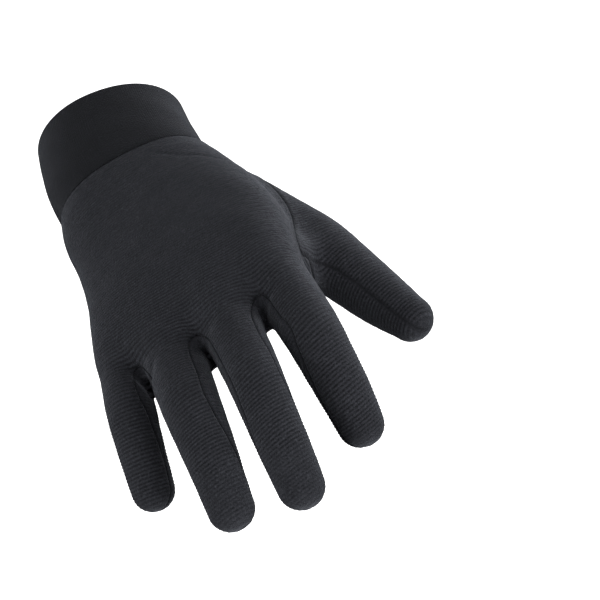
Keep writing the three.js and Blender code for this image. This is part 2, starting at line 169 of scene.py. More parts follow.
def smooth_table(knots, rows, count=600):
    """A table of smooth curves through rows at the knots."""
    knots, rows = np.asarray(knots, float), np.asarray(rows, float)
    slopes = np.gradient(rows, knots, axis=0)
    at = np.linspace(knots[0], knots[-1], count)
    i = np.clip(np.searchsorted(knots, at, side="right") - 1, 0, len(knots) - 2)
    gap = (knots[i + 1] - knots[i])[:, None]
    t = (at - knots[i])[:, None] / gap
    curve = (2 * t**3 - 3 * t**2 + 1) * rows[i] + (t**3 - 2 * t**2 + t) * gap * slopes[i]
    curve += (3 * t**2 - 2 * t**3) * rows[i + 1] + (t**3 - t**2) * gap * slopes[i + 1]
    return Table(knots[0], knots[-1], curve)


def palm_table():
    turn, tip = (math.tan(math.radians(a)) for a in WRIST_SLANT)
    half = WRIST_DEPTH / 2 + SEAM_STEP
    rows = [(0, 0, WRIST_WIDTH / 2 + SEAM_STEP, half, half, 0, turn, tip, 0)]
    for along, side, lift, width, above, below, tilt, turn, bow in PALM_SECTIONS:
        rows.append((side * PALM_WIDTH, lift * PALM_DEPTH, width * PALM_WIDTH / 2, above * PALM_DEPTH,
                     below * PALM_DEPTH, math.radians(tilt), math.tan(math.radians(turn)), 0,
                     bow * PALM_LENGTH))
    knots = [CUFF_LENGTH + 0.3] + [CUFF_LENGTH + s[0] * PALM_LENGTH for s in PALM_SECTIONS]
    return smooth_table(knots, rows)


PALM = palm_table()
PALM_END = 5.0  # how softly the palm is rounded off at its far end


def palm_form(points):
    """How far points are from the palm, and their station: how far along the hand their section is."""
    station = -points[:, 1]
    for _ in range(3):
        x, z, wide, above, below, tilt, turn, tip, bow = PALM(station)
        dx, dz = points[:, 0] - x, points[:, 2] - z
        across = dx * np.cos(tilt) + dz * np.sin(tilt)
        high = dz * np.cos(tilt) - dx * np.sin(tilt)
        station = bow * np.clip(across / wide, -1, 1) ** 2 + turn * dx + tip * dz - points[:, 1]
    height = np.where(high > 0, above, below)
    u, v = np.abs(across) / wide, np.abs(high) / height
    power = SQUARENESS
    size = np.maximum((u**power + v**power) ** (1 / power), 1e-3)
    slope = size ** (1 - power) * np.hypot(u ** (power - 1) / wide, v ** (power - 1) / height)
    distance = (size - 1) / np.maximum(slope, 0.02)
    return -blended(-distance, -(station - CUFF_LENGTH - PALM_LENGTH), PALM_END), station


def bone_way(spread, slope):
    spread, slope = math.radians(spread), math.radians(slope)
    level = math.cos(slope)
    return np.array([math.sin(spread) * level, -math.cos(spread) * level, -math.sin(slope)])


def limb_joints(limb, root, length, width):
    """Place and radius at the hidden root, the knuckle, both joints and the middle of the tip."""
    side, along, lift, size, spread, bends, bones, thick = limb
    place = np.array([side * PALM_WIDTH, -CUFF_LENGTH - along * PALM_LENGTH, lift * PALM_DEPTH])
    radii = [t * width / 2 for t in thick]
    behind = place - bone_way(spread, bends[0]) * root[0] * bones[0] * size * length
    joints = [(*behind, root[1] * radii[0]), (*place, radii[0])]
    for bend, bone, radius in zip(bends, bones, radii[1:]):
        place = place + bone_way(spread, bend) * bone * size * length
        joints.append((*place, radius))
    return np.array(joints)


FAR = 40.0  # stands for any distance too large to matter


def rods_form(points, rods, low, high):
    """How far points are from rods, each a row of places and radii, where they lie between low and high."""
    distance = np.full(len(points), FAR)
    near = ((points > low) & (points < high)).all(1)
    q = points[near]
    best = np.full(len(q), np.inf)
    for rod in rods:
        for a, b in zip(rod, rod[1:]):
            way = b[:3] - a[:3]
            t = np.clip((q - a[:3]) @ way / (way @ way), 0, 1)
            gap = np.linalg.norm(q - a[:3] - t[:, None] * way, axis=1) - a[3] - t * (b[3] - a[3])
            best = np.minimum(best, gap)
    distance[near] = best
    return distance


class Limb:
    """A finger or the thumb: a round form along its bones, bent softly at the joints."""

    def __init__(self, joints, soft=7.0, reach=30.0):
        path = [joints[0]]
        for before, joint, after in zip(joints, joints[1:], joints[2:]):
            start = joint + (before - joint) * soft / np.linalg.norm((before - joint)[:3])
            end = joint + (after - joint) * soft / np.linalg.norm((after - joint)[:3])
            for t in np.linspace(0, 1, 5):
                path.append((1 - t) ** 2 * start + 2 * t * (1 - t) * joint + t * t * end)
        self.path = np.array(path + [joints[-1]])
        self.joints = joints
        self.low, self.high = self.path[:, :3].min(0) - reach, self.path[:, :3].max(0) + reach

    def form(self, points):
        """How far points are from the limb."""
        return rods_form(points, [self.path], self.low, self.high)

    def along(self, points):
        """How far past the knuckle points are, measured along the bones."""
        places = self.joints[1:, :3]
        steps = np.diff(places, axis=0)
        sizes = np.linalg.norm(steps, axis=1)
        ways = steps / sizes[:, None]
        starts = np.concatenate([[0], np.cumsum(sizes)])
        value = (points - places[0]) @ ways[0]
        for i in range(1, len(ways)):
            across = ways[i - 1] + ways[i]
            share = smoothstep((points - places[i]) @ across / np.linalg.norm(across), -13.0, 13.0)
            value += share * (starts[i] + (points - places[i]) @ ways[i] - value)
        return value

    def length(self):
        """The length of the bones together."""
        return np.linalg.norm(np.diff(self.joints[1:, :3], axis=0), axis=1).sum()

    def place(self, share):
        """The place at a share of the first bone, or past 1 at a share of the second."""
        bone = 0 if share < 1 else 1
        a, b = self.joints[bone + 1, :3], self.joints[bone + 2, :3]
        return a + (b - a) * (share - bone)


FINGER_FORMS = [Limb(limb_joints(f, FINGER_ROOT, FINGER_LENGTH, FINGER_WIDTH)) for f in FINGERS.values()]
THUMB_FORM = Limb(limb_joints(THUMB, THUMB_ROOT, THUMB_LENGTH, THUMB_WIDTH))


WEB_BACK = np.array([0.1, 0.8, -0.6])  # the way in which the web is set back
WEB_REACH = 25.0


def web_bars():
    """The web between thumb and index finger as many bars from the one to the other."""
    rows = np.array(WEB_SECTIONS)
    bars = []
    for at in np.linspace(0, len(rows) - 1, 21):
        row = [np.interp(at, range(len(rows)), column) for column in rows.T]
        start, end = THUMB_FORM.place(row[0]), FINGER_FORMS[0].place(row[1])
        bar = []
        for u in np.linspace(-1, 1, 7):
            place = (start + end) / 2 + (end - start) / 2 * u
            place[1] += row[3] * PALM_LENGTH * (1 - u * u)
            place += WEB_BACK * row[4] * PALM_LENGTH * (1 - u * u)
            bar.append((*place, row[2] * THUMB_WIDTH / 2 * (0.35 + 0.65 * math.sqrt(1 - u * u))))
        bars.append(np.array(bar))
    return bars


WEB_BARS = web_bars()
WEB_LOW = np.min([b[:, :3].min(0) for b in WEB_BARS], axis=0) - WEB_REACH
WEB_HIGH = np.max([b[:, :3].max(0) for b in WEB_BARS], axis=0) + WEB_REACH


# How softly the hand's forms run into each other.
WEB_BLEND, THUMB_BLEND, FINGER_BLEND, KNUCKLE_BLEND = 7.0, 6.0, 1.0, 6.0
HAND_BOX = (-54, -242, -54), (96, -43, 30)


def hand_form(points):
    """How far points are from the whole hand's outside. It is negative inside."""
    web = rods_form(points, WEB_BARS, WEB_LOW, WEB_HIGH)
    body = blended(palm_form(points)[0], web, WEB_BLEND)
    body = blended(body, THUMB_FORM.form(points), THUMB_BLEND)
    index, middle, ring, little = (f.form(points) for f in FINGER_FORMS)
    sides = blended(index, middle, FINGER_BLEND), blended(ring, little, FINGER_BLEND)
    return blended(body, blended(*sides, FINGER_BLEND), KNUCKLE_BLEND)


def outward(points, reach=0.25):
    """The way out of the hand at points, and how far they are from it."""
    corners = np.array([(1, 1, 1), (1, -1, -1), (-1, 1, -1), (-1, -1, 1)], float)
    values = np.array([hand_form(points + reach * c) for c in corners])
    slope = (corners.T @ values).T / (4 * reach)
    distance = values.mean(0)
    length = np.maximum(np.linalg.norm(slope, axis=1), 1e-6)
    return slope / length[:, None], distance / length


def settled(points, rounds=2):
    """Points brought onto the hand's outside, and the way out there."""
    for _ in range(rounds):
        way, distance = outward(points)
        points = points - way * np.clip(distance, -1.5, 1.5)[:, None]
    return points, way


def rib_place(points):
    """How far along the cloth points are, across its ribs, on the palm, the back and the fingers."""
    station = palm_form(points)[1]
    middles = SEAMS(points[:, 1]).reshape(4, 3, -1)[:, 0]
    near = np.exp(-np.clip([f.form(points) for f in FINGER_FORMS], 0, 60) / 2.5) + 1e-12
    near /= near.sum(0)
    along, past = np.zeros((2, len(points)))
    for finger, share, middle, skew in zip(FINGER_FORMS, near, middles, RIB_SKEW):
        knuckle = palm_form(finger.joints[1:2, :3])[1][0]
        arc = finger.along(points)
        along += share * (knuckle + arc + skew * (points[:, 0] - middle))
        past += share * smoothstep(arc, 0, 24)
    return station * (1 - past) + along * past


# The seams between back, palm and side strips


def seam_table():
    """Across, height and half the strip's height of the seams on each finger, along the hand."""
    at = np.arange(-350, -20, 0.5)
    columns = []
    for finger in FINGER_FORMS:
        root, knuckle, first, second, tip = finger.joints
        wrist = np.array([0.8 * knuckle[0], -CUFF_LENGTH, 0, STRIP_ROOT * knuckle[3]])
        narrow = np.array([*knuckle[:3], STRIP_ROOT * knuckle[3]])
        way = (tip - second)[:3] / np.linalg.norm((tip - second)[:3])
        beyond = np.array([*(tip[:3] + way * 4 * FINGER_WIDTH), 0])
        line = [beyond, tip, second, (first + second) / 2, first, (knuckle + first) / 2, narrow, wrist]
        line = np.array(line)
        x, z, radius = (np.interp(at, line[:, 1], line[:, c]) for c in (0, 2, 3))
        taper = smoothstep(at - tip[1], 0, 1.3 * FINGER_WIDTH)
        half = np.maximum(STRIP_SHARE * radius * taper * np.sqrt(1 + np.gradient(z, at) ** 2), 0.05)
        for column in (x, z, half):
            padded = np.pad(column, 9, mode="edge")
            columns.append(np.convolve(padded, np.ones(19) / 19, mode="valid"))
    return Table(at[0], at[-1], np.array(columns).T)


SEAMS = seam_table()


def seam_heights(points):
    """The seams' height at points, half the strip's height there, and whether it is between fingers."""
    x, y = points[:, 0], points[:, 1]
    lines = SEAMS(y).reshape(4, 3, -1)
    thumb_x = THUMB_SEAM[0] * PALM_WIDTH
    root, web = THUMB_FORM.place(0)[1], THUMB_FORM.place(1.4)[1]
    knuckle = FINGER_FORMS[0].joints[1, 1] - FINGER_WIDTH
    dip = np.minimum(smoothstep(-y, CUFF_LENGTH, -root), 1 - smoothstep(-y, -web, -knuckle))
    side_height = lines[0, 1] + (THUMB_SEAM[1] * PALM_DEPTH - lines[0, 1]) * dip
    share = np.clip((x - lines[0, 0]) / np.maximum(thumb_x - lines[0, 0], 1), 0, 1)
    height = np.where(x > lines[0, 0], lines[0, 1] + (side_height - lines[0, 1]) * share, lines[3, 1])
    half, between = np.zeros(len(points)), np.zeros(len(points), bool)
    for (ax, az, ah), (bx, bz, bh) in zip(lines, lines[1:]):
        share = (x - ax) / np.minimum(bx - ax, -1)
        inside = (share >= 0) & (share <= 1)
        height = np.where(inside, az + (bz - az) * share, height)
        half = np.where(inside, ah + (bh - ah) * smoothstep(share, 0.4, 0.6), half)
        between |= inside
    return height, half, between


def seam_distance(points, way, side):
    """How far points are along the cloth from the back's seam where side is 1, or the palm's at -1."""

    def field(p):
        height, half, between = seam_heights(p)
        value = p[:, 2] - height - side * half
        return value if side > 0 else np.where(between & (half > 0.3), value, -9.0)

    value = field(points)
    step = 0.3
    slope = np.ones_like(points)
    slope[:, 0] = (field(points + (step, 0, 0)) - value) / step
    slope[:, 1] = (field(points + (0, step, 0)) - value) / step
    slope = np.where(np.abs(slope) > 4, 0, slope)
    slope -= way * (way * slope).sum(1)[:, None]
    return np.clip(value / np.clip(np.linalg.norm(slope, axis=1), 0.2, 2.0), -20, 20)


def thumb_seam_distance(points):
    side, lift, turn, lean = THUMB_SEAM
    turn, lean = math.radians(turn), math.radians(lean)
    normal = np.array([math.cos(lean) * math.cos(turn), math.cos(lean) * math.sin(turn), -math.sin(lean)])
    middle = (THUMB_FORM.place(0) + THUMB_FORM.place(1.999)) / 2
    bend = np.interp(-points[:, 1], *zip(*THUMB_SEAM_BEND)) * smoothstep(points[:, 2], -12, -4)
    return (points - (side * PALM_WIDTH, middle[1], lift * PALM_DEPTH)) @ normal - bend


def line_distance(points, line, reach=12):
    """How far points are from a line, if within its reach, and how far along it, from 0 to 1."""
    line = np.asarray(line, float)
    steps = np.linalg.norm(np.diff(line, axis=0), axis=1)
    arcs = np.concatenate([[0], np.cumsum(steps)]) / steps.sum()
    best, along = np.full(len(points), FAR), np.zeros(len(points))
    near = ((points > line.min(0) - reach) & (points < line.max(0) + reach)).all(1)
    q = points[near]
    nearest, place = best[near], along[near]
    for i, (a, b) in enumerate(zip(line, line[1:])):
        t = np.clip((q - a) @ (b - a) / ((b - a) @ (b - a)), 0, 1)
        gap = np.linalg.norm(q - a - t[:, None] * (b - a), axis=1)
        place = np.where(gap < nearest, arcs[i] + t * (arcs[i + 1] - arcs[i]), place)
        nearest = np.minimum(nearest, gap)
    best[near], along[near] = nearest, place
    return best, along


def beside_line(points, line):
    """How far points are beside a line on the cloth: a smooth field, 0 all along the line."""
    line = np.asarray(line, float)
    chord = (line[-1] - line[0]) / np.linalg.norm(line[-1] - line[0])
    way = outward(line)[0]
    side = np.cross(np.gradient(line, axis=0), way)
    side /= np.linalg.norm(side, axis=1)[:, None]
    at, station = (points - line[0]) @ chord, (line - line[0]) @ chord
    near = np.stack([np.interp(at, station, column) for column in np.hstack([line, side]).T], 1)
    beyond = at - np.clip(at, station[0], station[-1])
    return ((points - near[:, :3] - beyond[:, None] * chord) * near[:, 3:]).sum(1)


def smooth_line(line, rounds=2):
    """A line with its corners cut, so that it bends softly."""
    line = np.asarray(line, float)
    for _ in range(rounds):
        before, after = line[:-1], line[1:]
        cut = np.stack([0.75 * before + 0.25 * after, 0.25 * before + 0.75 * after], 1)
        line = np.vstack([line[:1], cut.reshape(-1, 3), line[-1:]])
    return line


# Meshes


def net_over(form, low, high, step):
    """A mesh of triangles over the outside of form, with points about step apart."""
    low, high = np.asarray(low, float), np.asarray(high, float)
    count = np.ceil((high - low) / step).astype(int) + 1
    places = [low[k] + step * np.arange(count[k]) for k in range(3)]
    grid = np.stack(np.meshgrid(*places, indexing="ij"), -1)
    values = form(grid.reshape(-1, 3)).reshape(count)
    inside = values < 0
    total = np.zeros((*(count - 1), 3))
    hits = np.zeros(count - 1)

    def corner(i, j, k):
        return values[i : count[0] - 1 + i, j : count[1] - 1 + j, k : count[2] - 1 + k]

    for axis, p, q in itertools.product(range(3), (0, 1), (0, 1)):
        start = [p, q]
        start.insert(axis, 0)
        end = list(start)
        end[axis] = 1
        a, b = corner(*start), corner(*end)
        crossed = (a < 0) != (b < 0)
        place = np.array(start, float) + 0 * total
        place[..., axis] = np.where(crossed, a / np.where(crossed, a - b, 1), 0)
        total += np.where(crossed[..., None], place, 0)
        hits += crossed
    cells = hits > 0
    number = np.full(cells.shape, -1)
    number[cells] = np.arange(cells.sum())
    base = np.argwhere(cells)
    points = low + step * (base + total[cells] / hits[cells][:, None])
    faces = []
    for axis in range(3):
        b, c = (axis + 1) % 3, (axis + 2) % 3
        first = np.take(inside, range(count[axis] - 1), axis)
        second = np.take(inside, range(1, count[axis]), axis)
        edges = np.argwhere(first != second)
        place, last = edges[:, [b, c]], count[[b, c]] - 1
        edges = edges[((place > 0) & (place < last)).all(1)]
        quad = []
        for db, dc in ((1, 1), (0, 1), (0, 0), (1, 0)):
            cell = edges.copy()
            cell[:, b] -= db
            cell[:, c] -= dc
            quad.append(number[tuple(cell.T)])
        quad = np.stack(quad, 1)
        out = first[tuple(edges.T)]
        faces.append(np.where(out[:, None], quad, quad[:, ::-1]))
    quads = np.vstack(faces)
    first = np.linalg.norm(points[quads[:, 0]] - points[quads[:, 2]], axis=1)
    second = np.linalg.norm(points[quads[:, 1]] - points[quads[:, 3]], axis=1)
    quads = np.where((first <= second)[:, None], quads, np.roll(quads, -1, axis=1))
    return points, np.vstack([quads[:, [0, 1, 2]], quads[:, [0, 2, 3]]])


def edges_of(faces):
    return np.vstack([faces[:, [0, 1]], faces[:, [1, 2]], faces[:, [2, 0]]])


def evened(points, faces, rounds=3):
    """The same mesh with its points spread more evenly over the hand."""
    edges = edges_of(faces)
    for _ in range(rounds):
        total, hits = np.zeros_like(points), np.zeros(len(points))
        np.add.at(total, edges[:, 0], points[edges[:, 1]])
        np.add.at(hits, edges[:, 0], 1)
        points = settled(0.5 * points + 0.5 * total / hits[:, None], 1)[0]
    return settled(points)[0]


def sliced(points, faces, field, levels):
    """Cuts faces where field passes a level. Gives the points, the faces, the field at each point,
    how many levels each face is past, and for each level the pairs of points along its cut."""
    levels = np.asarray(levels, float)
    rank = np.searchsorted(levels, field, side="right")
    order = np.argsort(rank[faces], axis=1, kind="stable")
    tri = np.take_along_axis(faces, order, axis=1)
    odd = (order[:, 1] - order[:, 0]) % 3 != 1
    sides = np.concatenate([tri[:, [0, 1]], tri[:, [1, 2]], tri[:, [0, 2]]])
    key = sides.min(1).astype(np.int64) * len(points) + sides.max(1)
    _, index, inverse = np.unique(key, return_index=True, return_inverse=True)
    low, high = sides[index].T
    swap = rank[low] > rank[high]
    low, high = np.where(swap, high, low), np.where(swap, low, high)
    crossings = rank[high] - rank[low]
    offset = len(points) + np.concatenate([[0], np.cumsum(crossings)[:-1]])
    edge = np.repeat(np.arange(len(low)), crossings)
    level = rank[low[edge]] + np.arange(len(edge)) - (offset[edge] - len(points))
    a, b = low[edge], high[edge]
    t = np.clip((levels[level] - field[a]) / np.where(a == b, 1, field[b] - field[a]), 0.002, 0.998)[:, None]
    points = np.vstack([points, points[a] * (1 - t) + points[b] * t])
    field = np.concatenate([field, levels[level]])
    count = len(faces)
    own = inverse.reshape(3, count)
    r0, r1, r2 = rank[tri].T
    bands = r2 - r0 + 1
    t_of = np.repeat(np.arange(count), bands)
    past = r0[t_of] + np.arange(len(t_of)) - np.repeat(np.cumsum(bands) - bands, bands)

    def at(edge_of, which):
        edge_here = edge_of[t_of]
        return offset[edge_here] + which - rank[low[edge_here]]

    def chain(which):
        return np.where(which < r1[t_of], at(own[0], which), at(own[1], which))

    # Each band's corners at its lower and upper level, on the face's long side and on the other two.
    v0, v1, v2 = tri[t_of].T
    first, last = past == r0[t_of], past == r2[t_of]
    ll, lu = np.where(first, v0, at(own[2], past - 1)), np.where(last, v2, at(own[2], past))
    cl, cu = np.where(first, v0, chain(past - 1)), np.where(last, v2, chain(past))
    middle = np.where(past == r1[t_of], v1, cl)
    new = np.vstack([np.stack([middle, *pair], 1) for pair in ((cu, lu), (lu, ll), (ll, cl))])
    ranks = np.tile(past, 3)
    flip = np.tile(odd[t_of], 3)
    new = np.where(flip[:, None], new[:, ::-1], new)
    good = (new[:, 0] != new[:, 1]) & (new[:, 1] != new[:, 2]) & (new[:, 0] != new[:, 2])
    cuts = [np.stack([lu, cu], 1)[~last & (past == k)] for k in range(len(levels))]
    return points, new[good], field, ranks[good], cuts


def compact(points, faces):
    """The faces with only the points that they use."""
    used, faces = np.unique(faces, return_inverse=True)
    return points[used], faces.reshape(-1, 3)


def chained(pairs):
    """Lists of point numbers along the cut that pairs make up, longest first."""
    links = {}
    for a, b in pairs.tolist():
        if a != b:
            links.setdefault(a, set()).add(b)
            links.setdefault(b, set()).add(a)
    lines = []
    while links:
        ends = [p for p, others in links.items() if len(others) == 1]
        here = ends[0] if ends else next(iter(links))
        line = [here]
        while links.get(here):
            after = links[here].pop()
            links[after].discard(here)
            if not links[here]:
                del links[here]
            line.append(after)
            here = after
        links = {p: others for p, others in links.items() if others}
        lines.append(line)
    return sorted(lines, key=len, reverse=True)


def closed_shell(outer, inner, faces):
    """The faces of an outer and an inner wall, joined round their edges."""
    edges = edges_of(faces)
    key = edges[:, 0].astype(np.int64) * len(outer) + edges[:, 1]
    back = edges[:, 1].astype(np.int64) * len(outer) + edges[:, 0]
    rim = edges[~np.isin(key, back)]
    n = len(outer)
    a, b = rim.T
    walls = [faces, faces[:, ::-1] + n, np.stack([b, a, a + n], 1), np.stack([b, a + n, b + n], 1)]
    return np.vstack([outer, inner]), np.vstack(walls)


def placed(name, data):
    """A new object in the scene that holds a mesh, a camera or a light."""
    thing = bpy.data.objects.new(name, data)
    bpy.context.scene.collection.objects.link(thing)
    return thing


def add_object(name, points, faces, columns, material):
    """A smooth mesh object from points in millimetres."""
    mesh = bpy.data.meshes.new(name)
    mesh.vertices.add(len(points))
    mesh.vertices.foreach_set("co", (points * 0.001).astype(np.float32).ravel())
    mesh.loops.add(faces.size)
    mesh.loops.foreach_set("vertex_index", faces.astype(np.int32).ravel())
    mesh.polygons.add(len(faces))
    mesh.polygons.foreach_set("loop_start", np.arange(0, faces.size, 3, dtype=np.int32))
    mesh.update(calc_edges=True)
    mesh.validate()
    mesh.shade_smooth()
    for key, values in columns.items():
        mesh.attributes.new(key, "FLOAT", "POINT").data.foreach_set("value", values.astype(np.float32))
    mesh.materials.append(material)
    return placed(name, mesh)


MM = 1000.0  # millimetres in a metre
# How far from a seam the faces are cut narrower for its groove: to both sides of a seam between
# pieces, beyond the wrist seam, and beside the thumb's closing seam.
SEAM_LADDER = (2.6, 1.5, 0.75)
WRIST_LADDER = (0, 0.7, 1.6, 2.8)
CLOSING_LADDER = (-1.8, -0.9, -0.4, 0, 0.4, 0.9, 1.8)
WRIST_DIP, WRIST_DIP_WIDTH = 0.6, 1.3  # how the hand's edge is drawn in at the wrist seam
SHORTEST_SEAM = 12  # a shorter cut is a scrap at a seam's end and isn't sewn
# The middle of the back, where the ribs are stretched smooth: its middle, reach and share.
SMOOTH_BACK = ((6, -100), (27, 26), 0.8)


class Sewn:
    """The hand's cloth, cut into its pieces, and the lines that its stitches follow."""

    def __init__(self, sizes):
        self.pitch, self.depth = sizes.rib_pitch * MM, sizes.rib_depth * MM
        self.groove, self.width = sizes.seam_depth * MM, sizes.seam_width * MM
        beside = np.array([*SEAM_LADDER, sizes.seam_gap * MM / 2])
        self.ladder = [*-beside, 0, *beside[::-1]]
        self.lines = {}
        self.pieces = {}
        points, faces = net_over(hand_form, *HAND_BOX, sizes.net_size * MM)
        points = evened(points, faces)
        levels = [WRIST_STATION + rise for rise in WRIST_LADDER]
        points, faces, _, past, cuts = sliced(points, faces, palm_form(points)[1], levels)
        self.keep_line("wrist", points, cuts[0])
        points, faces = compact(points, faces[past > 0])
        points = settled(points)[0]
        hand, thumb = self.parted("thumb_root", points, faces, thumb_seam_distance(points))
        self.pieces["thumb"] = self.thumb_cloth(*thumb)
        self.cut_hand(*hand)

    def parted(self, name, points, faces, field):
        """The cloth before and beyond a seam, whose line is kept."""
        points, faces, _, past, cuts = sliced(points, faces, field, self.ladder)
        seam = len(SEAM_LADDER) + 1
        self.keep_line(name, points, cuts[seam])
        return compact(points, faces[past < seam]), compact(points, faces[past > seam + 1])

    def keep_line(self, name, points, pairs):
        for line in chained(pairs):
            path = points[line]
            if np.linalg.norm(np.diff(path, axis=0), axis=1).sum() > SHORTEST_SEAM:
                self.lines.setdefault(name, []).append(path)

    def cut_hand(self, points, faces):
        points, way = settled(points)
        hand, back = self.parted("back", points, faces, seam_distance(points, way, 1))
        self.pieces["back_panel"] = self.ribbed(*back)
        points, way = settled(hand[0])
        palm, (points, faces) = self.parted("palm", points, hand[1], seam_distance(points, way, -1))
        self.pieces["palm_panel"] = self.ribbed(*palm)
        middles = points[faces].mean(1)
        lines = SEAMS(middles[:, 1]).reshape(4, 3, -1)[:, 0]
        for names, right, left in zip(itertools.pairwise(FINGERS), lines, lines[1:]):
            own = (middles[:, 0] < right) & (middles[:, 0] > left)
            self.pieces["side_strip_" + "_".join(names)] = self.ribbed(*compact(points, faces[own]))

    def thumb_cloth(self, points, faces):
        self.closing = settled(smooth_line(THUMB_CLOSING))[0]
        self.lines["thumb_closing"] = [self.closing]
        points, faces, *_ = sliced(points, faces, beside_line(points, self.closing), CLOSING_LADDER)
        return self.ribbed(points, faces, settled(points)[0] @ THUMB_RIBS)

    def ribbed(self, points, faces, along=None):
        """The cloth cut at each rib's crest and foot, the way out of it and the place across its ribs."""
        points = settled(points, 1)[0]
        along = rib_place(points) if along is None else along
        half = self.pitch / 2
        steps = half * np.arange(math.ceil(along.min() / half), along.max() / half)
        points, faces, along, *_ = sliced(points, faces, along, steps)
        points, way = settled(points)
        return points, faces, way, along

    def seam_closeness(self, points, way, name):
        """How far points are from the nearest seam."""
        gaps = [np.abs(thumb_seam_distance(points))]
        if name == "thumb":
            gaps.append(0.75 * line_distance(points, self.closing)[0])
        else:
            between = seam_heights(points)[2]
            back = np.abs(seam_distance(points, way, 1))
            gaps.append(np.where(between, back, 1.1 * back + 0.45))
            gaps.append(np.abs(seam_distance(points, way, -1)))
        return np.min(gaps, axis=0)

    def rib_strength(self, points, way, nearest, name):
        """How much of their depth the ribs have: less on the back, the fingertips and near seams."""
        x, y, z = points.T
        (middle_x, middle_y), (reach_x, reach_y), share = SMOOTH_BACK
        smooth_back = share * np.exp(-(((x - middle_x) / reach_x) ** 2) - ((y - middle_y) / reach_y) ** 2)
        smooth_back = smooth_back * smoothstep(z, 0, 8)
        arcs = np.array([f.along(points) for f in FINGER_FORMS])
        lengths = np.array([[f.length()] for f in FINGER_FORMS])
        tips = smoothstep(arcs - lengths, -1.0, 7.0).max(0)
        fingers = smoothstep(np.vstack([arcs, THUMB_FORM.along(points)]), -8.0, 22.0).max(0)
        if name == "thumb":
            tips = np.maximum(tips, 2 * smoothstep(np.abs(way @ THUMB_RIBS), 0.7, 0.92))
        elif name.startswith("side_strip"):
            tips = np.maximum(tips, 2 * (1 - smoothstep(arcs.max(0), 27.0, 42.0)))
        return (0.6 + 0.4 * fingers) * (1 - smooth_back) * (1 - 0.45 * tips) * smoothstep(nearest, 0.1, 1.0)

    def shell(self, name):
        """A piece's closed shell with its relief, and what its finish reads."""
        points, faces, way, along = self.pieces[name]
        x, y, z = points.T
        nearest = self.seam_closeness(points, way, name)
        wrist = palm_form(points)[1] - WRIST_STATION
        strength = self.rib_strength(points, way, nearest, name)
        relief = self.depth * strength * np.cos(2 * np.pi * along / self.pitch)
        relief -= self.groove * np.exp(-((nearest / self.width) ** 2))
        relief += 0.1 * self.groove * np.exp(-(((nearest - 2.4 * self.width) / self.width) ** 2))
        relief -= WRIST_DIP * np.exp(-((wrist / WRIST_DIP_WIDTH) ** 2))
        for line, depth, width in FOLDS:
            gap, share = line_distance(points, smooth_line(line))
            fade = np.sin(np.pi * np.clip(0.12 + 0.76 * share, 0, 1)) ** 0.7
            relief -= depth * fade * np.exp(-((gap / width) ** 2))
        relief += 0.14 * np.sin(x / 7.3 + y / 11.0 + 1.3) * np.sin(y / 8.1 - z / 9.0)
        relief += 0.06 * np.sin(x / 2.9 - y / 3.7) * np.sin(y / 3.1 + z / 4.3 + 0.6)
        mesh = closed_shell(points + way * relief[:, None], points - way * FABRIC, faces)
        columns = {
            # The place across the ribs, which the finish also reads to paint shade into the rib valleys.
            "rib": np.tile(along / self.pitch, 2),
            "rib_strength": np.tile(strength, 2),
            # Closeness to a seam, which the finish reads to paint shade along the seam grooves.
            "seam": np.tile(np.exp(-((nearest / (1.2 * self.width)) ** 2)), 2),
        }
        return *mesh, columns


_made = {}


def made_once(key, make, *given):
    """What make gives, kept for the next piece that asks for it."""
    if key not in _made:
        _made[key] = make(*given)
    return _made[key]


def cuff_mesh():
    """The cuff: a doubled tube, folded round at its rim and open at both ends."""
    rows = []
    for along, rim, fill, side in CUFF_SECTIONS:
        wrist = 1 - rim
        slants = [math.tan(math.radians(r * rim + w * wrist)) for r, w in zip(RIM_SLANT, WRIST_SLANT)]
        rows.append((side * RIM_WIDTH, fill * (rim * RIM_WIDTH + wrist * WRIST_WIDTH) / 2,
                     fill * (rim * RIM_DEPTH + wrist * WRIST_DEPTH) / 2, *slants))
    table = smooth_table([s[0] * CUFF_LENGTH for s in CUFF_SECTIONS], rows)
    fold = CUFF_FABRIC / 2
    wall = [(fold - fold * math.sin(turn), fold - fold * math.cos(turn)) for turn in np.linspace(0, np.pi, 9)]
    first, last = fold + 0.8, CUFF_LENGTH - 0.05
    stations = [(s, 0.0) for s in np.linspace(last, first, CUFF_OUTSIDE)] + wall
    stations += [(s, CUFF_FABRIC) for s in np.linspace(first, last, CUFF_INSIDE)]
    around = CUFF_AROUND
    angle = np.linspace(0, 2 * np.pi, around, endpoint=False)
    c, s = np.cos(angle), np.sin(angle)
    rings = []
    for station, inset in stations:
        power = 2 / (SQUARENESS - RIM_ROUNDING * (1 - station / CUFF_LENGTH))
        across, up = np.sign(c) * np.abs(c) ** power, np.sign(s) * np.abs(s) ** power
        side, wide, deep, turn, tip = table(np.array([station]))[:, 0]
        lift = 0.16 * np.sin(3 * angle + station / 9.0) * np.sin(station / 7.0 + 2 * angle)
        lift = lift * math.sin(math.pi * min(max(station / CUFF_LENGTH, 0), 1))
        x, z = across * (wide - inset + lift), up * (deep - inset + lift)
        y = -station + turn * x + tip * z
        rings.append(np.stack([x + side, y, z], 1))
    points = np.vstack(rings)
    count = len(rings)
    r, i = np.meshgrid(np.arange(count), np.arange(around), indexing="ij")
    a = (r * around + i).ravel()
    b = (r * around + (i + 1) % around).ravel()
    c = ((r + 1) % count * around + (i + 1) % around).ravel()
    d = ((r + 1) % count * around + i).ravel()
    faces = np.vstack([np.stack([a, b, c], 1), np.stack([a, c, d], 1)])
    first, second, third = points[faces].transpose(1, 0, 2)
    if (first * np.cross(second, third)).sum() < 0:
        faces = faces[:, ::-1]
    return points, faces, {"wale": np.tile(angle / (2 * np.pi) * CUFF_WALES, count)}


# Finishes


